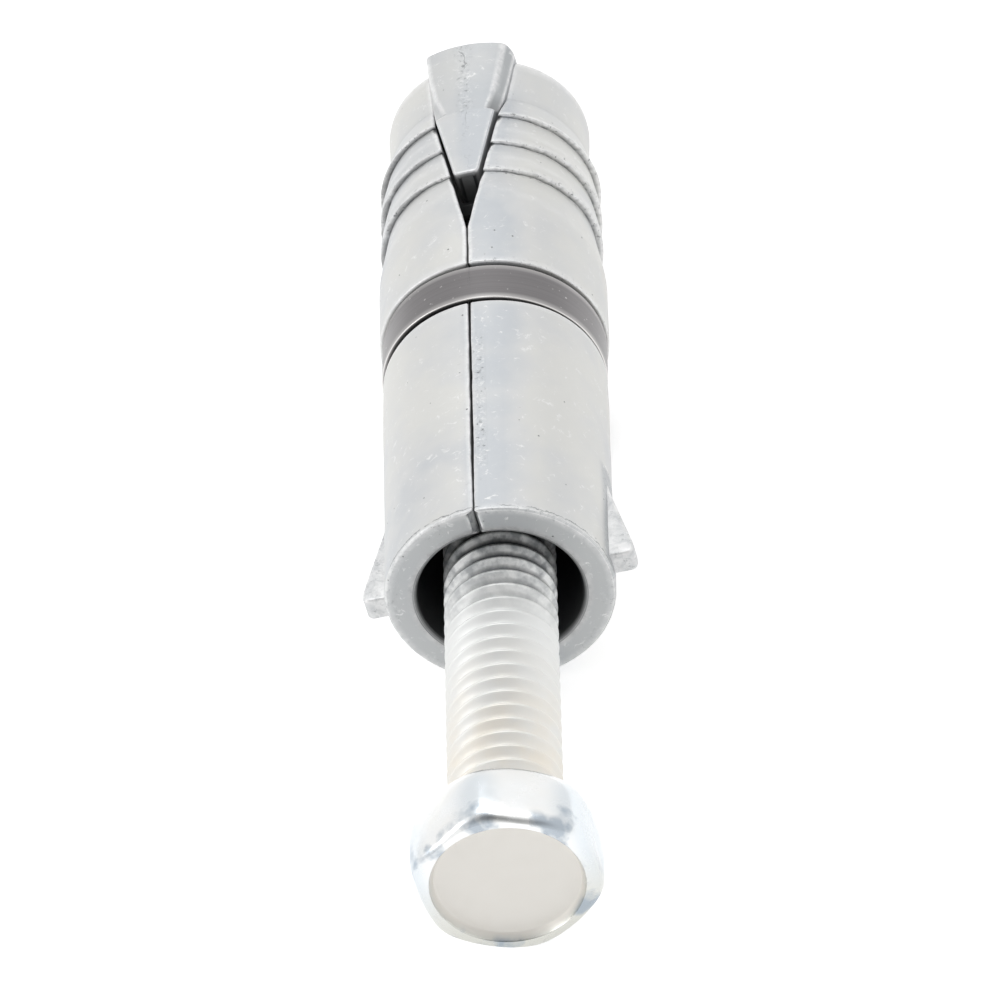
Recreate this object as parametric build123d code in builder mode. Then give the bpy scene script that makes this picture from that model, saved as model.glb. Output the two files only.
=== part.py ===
"""Heavy expansion anchor: two half shells, a spring band, a wedge nut and a hex bolt.

Millimetres. The origin is the centre of the shell's mouth. +Y runs along the axis into the
drilled hole, the bolt head stands out at -Y, +Z is up and both seams lie in the plane X = 0.
"""
import os
from math import cos, radians, sin, tan

from build123d import *

# Shell, shared by both halves
shell_length = 60.3
barrel_radius = 9.5
bore_radius = 6.8
mouth_ease = 0.25
bore_lead_in = 0.45
shoulder_rise = 0.25
shoulder_length = 6.4

# Sawtooth ridges, deepest midway between the seams
ridge_rise = 0.1
ridge_count = 3
ridge_pitch = 3.75
ridge_setback = 16.8
ridge_step = 0.2
ridge_lift = 0.1
ridge_offset = 0.35

# Waist and collar at the far end
waist_drop = 0.85
waist_run = 3.3
collar_rise = 0.2
collar_round_share = 0.68

# Seams and the V slots that the wedge fins ride in
seam_gap = 0.24
seam_bevel = 0.6
seam_corner_round = 0.4
slot_length = 24.3
slot_half_angle = 10.4
slot_end_run = 8.8
slot_end_angle = 6.7

# Ears that stop the shell from turning in the hole
ear_height = 1.85
ear_length = 8.6
ear_setback = 1.1
ear_thickness = 2.2
ear_nose = 1.3
ear_round = 0.35
ear_sink = 0.11
ear_tail = 4.3

# Spring band in its groove
band_width = 4.4
band_thickness = 0.8
band_setback = 33.65
band_slack = 0.42
band_side_play = 0.35
band_opening = 3.0
band_opening_turn = 150.0
band_edge_ease = 0.12

# Bolt
bolt_radius = 4.65
bolt_length = 82.55
bolt_tip_chamfer = 1.1
bolt_tip_slope = 0.55
head_underside = 27.7
head_flats = 14.29
head_corner_round = 1.1
head_height = 6.2
head_turn = 35.5
head_bulge_radius = 8.2
head_crown_drop = 4.0
head_crown_steps = 4
head_back_steps = 3
head_seat_radius = 6.7
head_disc_radius = 6.28
head_disc_depth = 0.45
head_rim_width = 0.12

# Wedge nut
nut_length = 17.9
nut_overhang = 0.1
nut_front_play = 0.55
nut_back_play = 0.3
nut_front_chamfer = 0.6
nut_thread_play = 0.05
nut_entry_chamfer = 0.6
fin_length = 17.0
fin_proud = 0.05
fin_end_rise = 0.35
fin_gap = 0.32
fin_end_gap = 0.15
fin_nose_round = 0.5
fin_corner_round = 0.5
fin_bend_run = 8.2
fin_facet_width = 0.5
fin_facet_height = 1.4

# Room past a surface that a cutting tool needs
cut_room = 2.0

shoulder_radius = barrel_radius + shoulder_rise
ridge_radius = barrel_radius + ridge_rise
waist_radius = barrel_radius - waist_drop
collar_radius = waist_radius + collar_rise
collar_round = collar_round_share * (collar_radius - bore_radius)
band_start = shell_length - band_setback
groove_start = band_start - band_side_play
groove_end = band_start + band_width + band_side_play
band_inner_radius = barrel_radius - band_thickness
groove_radius = band_inner_radius - band_slack
shoulder_end = groove_end + shoulder_length
first_ridge = shell_length - ridge_setback
last_ridge = first_ridge + (ridge_count - 1) * ridge_pitch
waist_at = last_ridge + waist_run
slot_tip = shell_length - slot_length
half_gap = seam_gap / 2
slot_slope = tan(radians(slot_half_angle))
slot_bend = shell_length - slot_end_run
slot_end_slope = tan(radians(slot_end_angle))
fin_radius = barrel_radius + fin_proud
fin_end_radius = fin_radius + fin_end_rise
head_face = -head_underside - head_height
head_bulge_at = head_face + head_crown_drop
head_rim_radius = head_disc_radius + head_rim_width
head_swell = head_bulge_radius - head_rim_radius
head_tuck = head_bulge_radius - head_seat_radius
head_back_drop = head_height - head_crown_drop


def quarter_turns(steps: int) -> list[float]:
    """Angles, in radians, that part a quarter turn into even steps."""
    return [radians(90 * step / steps) for step in range(1, steps + 1)]


def slot_half_width(station: float) -> float:
    """Half the width of the V slot at a distance from the mouth, steeper up to its bend."""
    bent = max(0.0, station - slot_bend)
    return half_gap + (station - bent - slot_tip) * slot_slope + bent * slot_end_slope


def fin_half_width(station: float) -> float:
    """Half the width of a wedge fin that follows the slot, a clearance less than it."""
    return slot_half_width(station) - fin_gap


# Ear: a gusset that rises from the barrel to a blunt nose near the mouth
with BuildPart() as ear:
    ear_front = ear_setback
    ear_back = ear_setback + ear_length
    ear_tip = barrel_radius + ear_height
    ear_root = (bore_radius + barrel_radius) / 2
    ear_skin = barrel_radius - ear_sink
    with BuildSketch(Plane.XY):
        with BuildLine():
            outline = Polyline(
                (ear_root, ear_front),
                (ear_tip, ear_front),
                (ear_tip, ear_front + ear_nose),
                (ear_skin, ear_back),
                (ear_skin, ear_back + ear_tail),
                (ear_root, ear_back + ear_tail),
                close=True,
            )
        make_face()
        nose_corner = vertices().sort_by_distance((ear_tip, ear_front))[0]
        fillet(nose_corner, radius=ear_round)
        slope_top = vertices().sort_by_distance((ear_tip, ear_front + ear_nose))[0]
        fillet(slope_top, radius=ear_nose)
        slope_foot = vertices().sort_by_distance((ear_skin, ear_back))[0]
        fillet(slope_foot, radius=ear_length)
    extrude(amount=ear_thickness / 2, both=True)
    side_faces = faces().filter_by(Axis.Z)
    rim = side_faces.edges().filter_by(lambda e: e.center().X > ear_skin + ear_round)
    fillet(rim, radius=ear_round)


# Half shell on the +X side
with BuildPart() as half_shell_right:
    with BuildSketch(Plane.XY):
        with BuildLine():
            Polyline(
                (bore_radius, shell_length),
                (bore_radius, bore_lead_in),
                (bore_radius + bore_lead_in, 0),
                (barrel_radius - mouth_ease, 0),
                (barrel_radius, mouth_ease),
                (barrel_radius, groove_start),
                (groove_radius, groove_start),
                (groove_radius, groove_end),
                (shoulder_radius, groove_end),
                (shoulder_radius, shoulder_end),
                (ridge_radius, first_ridge),
                (ridge_radius, last_ridge),
                (waist_radius, waist_at),
                (collar_radius, shell_length - collar_round),
            )
            end_arc = TangentArc(
                (collar_radius, shell_length - collar_round),
                (collar_radius - collar_round, shell_length),
                tangent=(0, 1),
            )
            Line(end_arc @ 1, (bore_radius, shell_length))
        make_face()
    revolve(axis=Axis.Y)
    split(bisect_by=Plane.YZ, keep=Keep.TOP)

    # each ridge drops to a cone about an axis set off past the seam plane
    tooth_axis = Axis((-ridge_offset, 0, 0), (0, 1, 0))
    tool_radius = shoulder_radius + ridge_offset + cut_room
    for ridge in range(ridge_count):
        step_at = first_ridge + ridge * ridge_pitch
        if ridge == 0:
            rise_to = shoulder_end
            rise_radius = shoulder_radius
        else:
            rise_to = step_at - ridge_pitch
            rise_radius = ridge_radius
        with BuildSketch(Plane.XY):
            with BuildLine():
                Polyline(
                    (ridge_radius - ridge_step - ridge_offset, step_at),
                    (tool_radius, step_at),
                    (tool_radius, rise_to),
                    (rise_radius + ridge_lift, rise_to),
                    close=True,
                )
            make_face()
        revolve(axis=tooth_axis, mode=Mode.SUBTRACT)

    # seam, rounded mouth corner and V slot in one plan cut
    with BuildSketch(Plane.XY):
        with BuildLine():
            corner_x = half_gap + seam_corner_round
            past_end = shell_length + cut_room
            corner_in = Line((corner_x, -cut_room), (corner_x, 0))
            corner = TangentArc(
                corner_in @ 1, (half_gap, seam_corner_round), tangent=(-1, 0)
            )
            Polyline(
                corner @ 1,
                (half_gap, slot_tip),
                (slot_half_width(slot_bend), slot_bend),
                (slot_half_width(past_end), past_end),
                (-cut_room, past_end),
                (-cut_room, -cut_room),
                corner_in @ 0,
            )
        make_face()
    extrude(amount=shoulder_radius + cut_room, both=True, mode=Mode.SUBTRACT)

    # bevel along both seams
    bevel_floor = barrel_radius - seam_bevel
    bevel_top = shoulder_radius + cut_room
    with BuildSketch(Plane.XZ):
        for side in (1, -1):
            with BuildLine():
                Polyline(
                    (half_gap, side * bevel_floor),
                    (half_gap + bevel_top - bevel_floor, side * bevel_top),
                    (-cut_room, side * bevel_top),
                    (-cut_room, side * bevel_floor),
                    close=True,
                )
            make_face()
    extrude(amount=-slot_tip, mode=Mode.SUBTRACT)

    add(ear.part)
half_shell_right.part.label = "half_shell_right"

# The other half is its mirror image
with BuildPart() as half_shell_left:
    mirror(half_shell_right.part, about=Plane.YZ)
half_shell_left.part.label = "half_shell_left"

# Spring band: an open ring of flat strip, its opening underneath
with BuildPart() as spring_band:
    with BuildSketch(Plane.XY):
        with Locations((band_inner_radius + band_thickness / 2, band_start + band_width / 2)):
            Rectangle(band_thickness, band_width)
        chamfer(vertices(), length=band_edge_ease)
    revolve(axis=Axis.Y)
    opening_plane = Plane.XZ.rotated((0, -band_opening_turn, 0))
    with BuildSketch(opening_plane.offset(-groove_start)):
        with Locations((0, barrel_radius)):
            Rectangle(band_opening, barrel_radius)
    extrude(amount=-(groove_end - groove_start), mode=Mode.SUBTRACT)
spring_band.part.label = "spring_band"

# Hex bolt; the thread is left to the render
head_crown_points = [
    (
        head_rim_radius + head_swell * sin(turn),
        head_bulge_at - head_crown_drop * cos(turn),
    )
    for turn in quarter_turns(head_crown_steps)
]
head_back_points = [
    (
        head_seat_radius + head_tuck * cos(turn),
        head_bulge_at + head_back_drop * sin(turn),
    )
    for turn in quarter_turns(head_back_steps)
]
with BuildPart() as hex_bolt:
    head_plane = Plane.XZ.offset(head_underside)
    with BuildSketch(head_plane):
        hexagon = RegularPolygon(
            head_flats / 2, 6, major_radius=False, rotation=head_turn
        )
        fillet(vertices(), radius=head_corner_round)
    extrude(amount=head_height)

    # forged round by cones along an ellipse: full at the crown, less so at the seat
    with BuildSketch(Plane.XY):
        with BuildLine():
            Polyline(
                (0, head_face + head_disc_depth),
                (head_disc_radius - head_disc_depth / 2, head_face + head_disc_depth),
                (head_disc_radius, head_face),
                (head_rim_radius, head_face),
                *head_crown_points,
                *head_back_points,
                (0, -head_underside),
                close=True,
            )
        make_face()
    revolve(axis=Axis.Y, mode=Mode.INTERSECT)

    with BuildSketch(head_plane):
        Circle(bolt_radius)
    extrude(amount=-bolt_length)
    tip_edge = edges().filter_by(GeomType.CIRCLE).sort_by(Axis.Y)[-1]
    chamfer(tip_edge, length=bolt_tip_chamfer, length2=bolt_tip_slope)
hex_bolt.part.label = "hex_bolt"

# Wedge nut: a tapered core in the bore, with two fins in the V slots
nut_end = shell_length + nut_overhang
nut_start = nut_end - nut_length
fin_start = nut_end - fin_length
fin_bend_at = fin_start + fin_bend_run
fin_end_half_width = slot_half_width(nut_end) - fin_end_gap
with BuildPart() as wedge_fin:
    with BuildSketch(Plane.XY):
        with BuildLine():
            Polyline(
                (-fin_half_width(fin_start), fin_start),
                (fin_half_width(fin_start), fin_start),
                (fin_half_width(fin_bend_at), fin_bend_at),
                (fin_end_half_width, nut_end),
                (-fin_end_half_width, nut_end),
                (-fin_half_width(fin_bend_at), fin_bend_at),
                close=True,
            )
        make_face()
        fillet(vertices().sort_by(Axis.Y)[:2], radius=fin_nose_round)
        fillet(vertices().sort_by(Axis.Y)[-2:], radius=fin_corner_round)
    extrude(amount=fin_end_radius + cut_room)

    # outer face follows the barrel, then rises to the far end
    with BuildSketch(Plane.XY):
        with BuildLine():
            Polyline(
                (0, fin_start - cut_room),
                (fin_radius, fin_start - cut_room),
                (fin_radius, fin_bend_at),
                (fin_end_radius, nut_end),
                (0, nut_end),
                close=True,
            )
        make_face()
    revolve(axis=Axis.Y, mode=Mode.INTERSECT)

    # a facet runs out along each flank towards the nose
    for side in (1, -1):
        facet_root = Vector(
            side * fin_end_half_width, nut_end, fin_end_radius - fin_facet_height
        )
        facet_top = Vector(
            side * (fin_end_half_width - fin_facet_width), nut_end, fin_end_radius
        )
        facet_tip = Vector(side * fin_half_width(fin_bend_at), fin_bend_at, fin_radius)
        facet_normal = (facet_top - facet_root).cross(facet_tip - facet_root) * side
        facet = Plane(origin=facet_tip, z_dir=facet_normal)
        split(bisect_by=facet, keep=Keep.BOTTOM)

with BuildPart() as wedge_nut:
    with BuildSketch(Plane.XY):
        with BuildLine():
            Polyline(
                (0, nut_start),
                (bore_radius - nut_front_play - nut_front_chamfer, nut_start),
                (bore_radius - nut_front_play, nut_start + nut_front_chamfer),
                (bore_radius - nut_back_play, nut_end),
                (0, nut_end),
                close=True,
            )
        make_face()
    revolve(axis=Axis.Y)
    add(wedge_fin.part)
    mirror(wedge_fin.part, about=Plane.XY)

    # threaded hole right through, eased at both ends
    hole_radius = bolt_radius + nut_thread_play
    with BuildSketch(Plane.XY):
        with BuildLine():
            Polyline(
                (0, nut_start),
                (hole_radius + nut_entry_chamfer, nut_start),
                (hole_radius, nut_start + nut_entry_chamfer),
                (hole_radius, nut_end - nut_entry_chamfer),
                (hole_radius + nut_entry_chamfer, nut_end),
                (0, nut_end),
                close=True,
            )
        make_face()
    revolve(axis=Axis.Y, mode=Mode.SUBTRACT)
wedge_nut.part.label = "wedge_nut"

os.makedirs("parts", exist_ok=True)
for piece in (half_shell_right, half_shell_left, spring_band, hex_bolt, wedge_nut):
    export_step(piece.part, f"parts/{piece.part.label}.step")
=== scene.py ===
"""Heavy expansion anchor, dressed for a plain studio picture.

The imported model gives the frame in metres. +Y runs along the axis into the drilled hole, the bolt
head stands out at -Y, +Z is up and both seams lie in the plane X = 0. The meshes here are shaped
in millimetres and scaled to metres once, when they are finished.
"""

import logging
import math
from dataclasses import dataclass, field
from enum import Enum
from functools import partial
from typing import Any, Callable, Sequence

import bmesh
import bpy
from mathutils import Matrix, Vector, noise

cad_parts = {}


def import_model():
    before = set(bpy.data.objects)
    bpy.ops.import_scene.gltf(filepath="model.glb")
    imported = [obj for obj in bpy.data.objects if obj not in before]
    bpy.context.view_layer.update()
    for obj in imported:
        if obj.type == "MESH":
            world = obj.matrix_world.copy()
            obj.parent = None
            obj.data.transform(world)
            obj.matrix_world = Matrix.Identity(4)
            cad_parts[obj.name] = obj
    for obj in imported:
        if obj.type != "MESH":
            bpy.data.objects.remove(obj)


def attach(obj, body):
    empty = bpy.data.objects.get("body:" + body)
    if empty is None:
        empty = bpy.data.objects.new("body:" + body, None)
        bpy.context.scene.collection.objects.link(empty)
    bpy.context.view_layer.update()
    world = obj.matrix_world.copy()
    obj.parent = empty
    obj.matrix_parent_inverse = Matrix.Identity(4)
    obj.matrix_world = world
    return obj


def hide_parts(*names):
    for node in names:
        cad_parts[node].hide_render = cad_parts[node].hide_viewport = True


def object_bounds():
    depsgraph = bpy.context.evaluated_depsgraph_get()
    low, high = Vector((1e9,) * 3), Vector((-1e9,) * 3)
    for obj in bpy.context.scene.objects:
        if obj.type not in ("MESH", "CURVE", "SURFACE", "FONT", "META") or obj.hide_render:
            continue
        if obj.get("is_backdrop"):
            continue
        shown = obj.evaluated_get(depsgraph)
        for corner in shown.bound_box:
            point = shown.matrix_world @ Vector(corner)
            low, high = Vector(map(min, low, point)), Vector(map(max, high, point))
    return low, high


log = logging.getLogger("expansion_anchor")

MM = 0.001
AXIS = Vector((0, 1, 0))
CENTRE = Vector((0, 0, 0))

# points of a mesh that lie closer together than this, in millimetres, are one
SAME_PLACE = 0.001

# one row of a turned outline: radius and distance along the axis
Station = tuple[float, float]

# a distance along the axis and a value there
Reading = tuple[float, float]

# how deep inside a place lies (painted shade on the castings, the sunk face on the bolt head), how
# rough its skin is (painted reflection streaks on the bolt head's crown), how much darker it is painted
# and how much painted highlight and reflection it takes, all from 0 to 1
Marks = Callable[[Vector], tuple[float, float, float, float]]

# adds one node to the tree of a material or of the world
Add = Callable[..., bpy.types.Node]


class Body(Enum):
    """Bodies of the frame that the pieces ride on."""

    BAND = "band"
    LEFT = "left_half"
    RIGHT = "right_half"
    BOLT = "bolt"
    NUT = "nut"


class Slot(Enum):
    """Material slots of the record."""

    CASTING = "die_cast_zinc"
    SPRING = "spring_steel"
    PLATING = "zinc_plated_steel"


class Side(Enum):
    """The two halves of the shell, as the sign of their X."""

    RIGHT = 1
    LEFT = -1


# Small helpers


def linear(colour: str) -> tuple[float, float, float, float]:
    """Turn an sRGB hex value into linear light.

    Args:
        colour: Hex value such as "#C8CACB".

    Returns:
        Red, green, blue and an alpha of 1.
    """
    shares = [int(colour[at : at + 2], 16) / 255 for at in (1, 3, 5)]
    light = [s / 12.92 if s <= 0.04045 else ((s + 0.055) / 1.055) ** 2.4 for s in shares]
    return (*light, 1.0)


def add_node(
    tree: bpy.types.NodeTree, kind: str, *values: Any, named: dict[str, Any] | None = None, **settings: Any
) -> bpy.types.Node:
    """Add one shader node with its settings, values and links.

    Args:
        tree: Node tree that takes the node.
        kind: Blender's name for the node type, after its ShaderNode.
        values: What goes into the inputs, in the order in which the node shows them: a value, a
            socket, or a node, which stands for the first output that it shows.
        named: What goes into further inputs, by their names.
        settings: Attributes of the node itself.

    Returns:
        The new node.
    """
    node = tree.nodes.new("ShaderNode" + kind)
    for name, value in settings.items():
        setattr(node, name, value)
    inputs = list(zip((socket for socket in node.inputs if socket.enabled), values))
    inputs += [(node.inputs[name], value) for name, value in (named or {}).items()]
    for socket, value in inputs:
        if isinstance(value, bpy.types.Node):
            value = next(output for output in value.outputs if output.enabled)
        if isinstance(value, bpy.types.NodeSocket):
            tree.links.new(value, socket)
        else:
            socket.default_value = value
    return node


def per_mm(size: float) -> float:
    """Give the scale of a pattern whose swells are size millimetres wide."""
    return 1 / (size * MM)


def smooth(value: float, low: float, high: float) -> float:
    """Rise softly from 0 at low to 1 at high."""
    share = min(1.0, max(0.0, (value - low) / (high - low)))
    return share * share * (3 - 2 * share)


def between(pairs: Sequence[Reading], place: float) -> float:
    """Read a value off a line of (place, value) pairs, held beyond its ends.

    Args:
        pairs: The pairs, in the order of their places.
        place: Where to read.

    Returns:
        The value there.
    """
    for (start, low), (end, high) in zip(pairs, pairs[1:]):
        if place < end:
            share = max(0.0, (place - start) / (end - start))
            return low + (high - low) * share
    return pairs[-1][1]


def rounded(corners: Sequence[tuple[float, float, float]], segments: int = 4) -> list[Station]:
    """Round the corners of an outline with arcs.

    Args:
        corners: Radius, distance along the axis and corner radius of each point, in order.
        segments: Segments in each arc.

    Returns:
        The outline's points, each arc written out.
    """
    points = []
    for index, (radius, station, fillet) in enumerate(corners):
        here = Vector((radius, station))
        if fillet <= 0 or index in (0, len(corners) - 1):
            points.append(tuple(here))
            continue
        back = (Vector(corners[index - 1][:2]) - here).normalized()
        ahead = (Vector(corners[index + 1][:2]) - here).normalized()
        half = back.angle(ahead) / 2
        centre = here + (back + ahead).normalized() * fillet / math.sin(half)
        start = here + back * fillet / math.tan(half) - centre
        end = here + ahead * fillet / math.tan(half) - centre
        turn = start.angle_signed(end)
        for step in range(segments + 1):
            arm = Matrix.Rotation(-turn * step / segments, 2) @ start
            points.append(tuple(centre + arm))
    return points


def divided(outline: Sequence[Station], longest: float) -> list[Station]:
    """Divide an outline's long straight runs.

    Args:
        outline: Points of the outline.
        longest: Longest run that may stay whole.

    Returns:
        The points with new ones between them.
    """
    points = [outline[0]]
    for start, end in zip(outline, outline[1:]):
        run = math.dist(start, end)
        pieces = max(1, math.ceil(run / longest))
        for step in range(1, pieces + 1):
            share = step / pieces
            radius = start[0] + (end[0] - start[0]) * share
            points.append((radius, start[1] + (end[1] - start[1]) * share))
    return points


def with_stations(outline: Sequence[Station], stations: Sequence[float]) -> list[Station]:
    """Add a point wherever an outline crosses one of the given stations.

    Args:
        outline: Points of the outline.
        stations: Distances along the axis.

    Returns:
        The outline with the added points.
    """
    points = [outline[0]]
    clear = 0.01
    for start, end in zip(outline, outline[1:]):
        low, high = sorted((start[1], end[1]))
        crossed = [at for at in stations if low + clear < at < high - clear]
        for at in sorted(crossed, reverse=end[1] < start[1]):
            share = (at - start[1]) / (end[1] - start[1])
            points.append((start[0] + (end[0] - start[0]) * share, at))
        points.append(end)
    return points


def turned(
    outline: Sequence[Station],
    steps: int,
    angle: float = math.tau,
    start: float = 0.0,
    rise: float = 0.0,
    closed: bool = False,
) -> bmesh.types.BMesh:
    """Turn an outline about the Y axis.

    Args:
        outline: Points of the outline.
        steps: Steps in the whole turn.
        angle: Angle to turn through, by the right-hand rule about +Y.
        start: Angle of the first outline from +Z towards +X.
        rise: Distance along +Y that each step adds, for a thread.
        closed: Whether the outline's last point joins its first.

    Returns:
        The turned surface, its last row merged with its first where they meet.
    """
    bm = bmesh.new()
    verts = [bm.verts.new((r * math.sin(start), y, r * math.cos(start))) for r, y in outline]
    pairs = list(zip(verts, verts[1:]))
    if closed:
        pairs.append((verts[-1], verts[0]))
    edges = [bm.edges.new(pair) for pair in pairs]
    whole = math.isclose(angle, math.tau) and rise == 0
    bmesh.ops.spin(
        bm,
        geom=verts + edges,
        cent=CENTRE,
        axis=AXIS,
        dvec=AXIS * rise,
        angle=angle,
        steps=steps,
        use_merge=whole,
    )
    bmesh.ops.remove_doubles(bm, verts=bm.verts, dist=SAME_PLACE)
    return bm


def close_holes(bm: bmesh.types.BMesh) -> None:
    """Fill each open loop of a mesh with one face."""
    rim = [edge for edge in bm.edges if edge.is_boundary]
    bmesh.ops.holes_fill(bm, edges=rim, sides=0)


def uneven(point: Vector, size: float, depth: float, seed: float = 0.0) -> float:
    """Smooth unevenness of a cast or forged skin.

    Args:
        point: Place on the piece, in millimetres.
        size: Width of one swell, in millimetres.
        depth: Greatest depth, in millimetres.
        seed: Offset that gives each piece its own swells.

    Returns:
        Height of the skin at the place.
    """
    return depth * noise.noise(point / size + Vector((seed, 0, seed)))


def mark_edges(bm: bmesh.types.BMesh) -> None:
    """Note a mesh's outer edges, which the castings lighten as wear and as painted highlight, and its inner
    corners, which they darken as painted shade.

    Args:
        bm: Mesh whose vertices get the attributes worn and crevice, from 0 to 1.
    """
    full = math.radians(24)
    worn = bm.verts.layers.float.new("worn")
    crevice = bm.verts.layers.float.new("crevice")
    for vert in bm.verts:
        bends = [edge.calc_face_angle_signed(0) for edge in vert.link_edges if len(edge.link_faces) == 2]
        if bends:
            vert[worn] = min(1.0, max(0.0, max(bends)) / full)
            vert[crevice] = min(1.0, max(0.0, -min(bends)) / full)


def finished(
    bm: bmesh.types.BMesh, name: str, finish: "Finish", marks: Marks | None = None, sharp: float = 40.0
) -> bpy.types.Object:
    """Make a mesh an object in metres, with smooth faces and its finish.

    Args:
        bm: Mesh in millimetres, which is freed.
        name: Name of the new object.
        finish: Finish of the whole piece.
        marks: Gives the attributes inside, rough, painted darkening and painted light at a place on the
            mesh.
        sharp: Angle in degrees from which an edge stays sharp.

    Returns:
        The new object, at the origin.
    """
    bmesh.ops.recalc_face_normals(bm, faces=bm.faces)
    mark_edges(bm)
    if marks:
        layers = [bm.verts.layers.float.new(layer) for layer in ("inside", "rough", "darkening", "painted_light")]
        for vert in bm.verts:
            for layer, value in zip(layers, marks(vert.co)):
                vert[layer] = value
    bmesh.ops.scale(bm, vec=Vector((MM, MM, MM)), verts=bm.verts)
    mesh = bpy.data.meshes.new(name)
    bm.to_mesh(mesh)
    bm.free()
    mesh.shade_smooth()
    mesh.set_sharp_from_angle(angle=math.radians(sharp))
    piece = bpy.data.objects.new(name, mesh)
    bpy.context.scene.collection.objects.link(piece)
    mesh.materials.append(finish.material())
    return piece


def seat(piece: bpy.types.Object, body: Body, slot: Slot, *nodes: str) -> None:
    """Tie a finished piece to the frame.

    Args:
        piece: The finished piece.
        body: Body that it rides on.
        slot: Material slot that its finish belongs to; not used.
        nodes: CAD nodes that it stands for.
    """
    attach(piece, body.value)
    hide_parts(*nodes)
    log.info("%s rides on %s with %d faces", piece.name, body.value, len(piece.data.polygons))


# Finishes


class Finish:
    """A finish that builds its material once."""

    name = "finish"

    def material(self) -> bpy.types.Material:
        """Give the material, made on first use.

        Returns:
            The material of this name.
        """
        found = bpy.data.materials.get(self.name)
        if found:
            return found
        made = bpy.data.materials.new(self.name)
        made.use_nodes = True
        made.node_tree.nodes.clear()
        self.shade(partial(add_node, made.node_tree))
        return made

    def shade(self, add: Add) -> None:
        """Add the finish's nodes to an empty tree."""
        raise NotImplementedError


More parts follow.
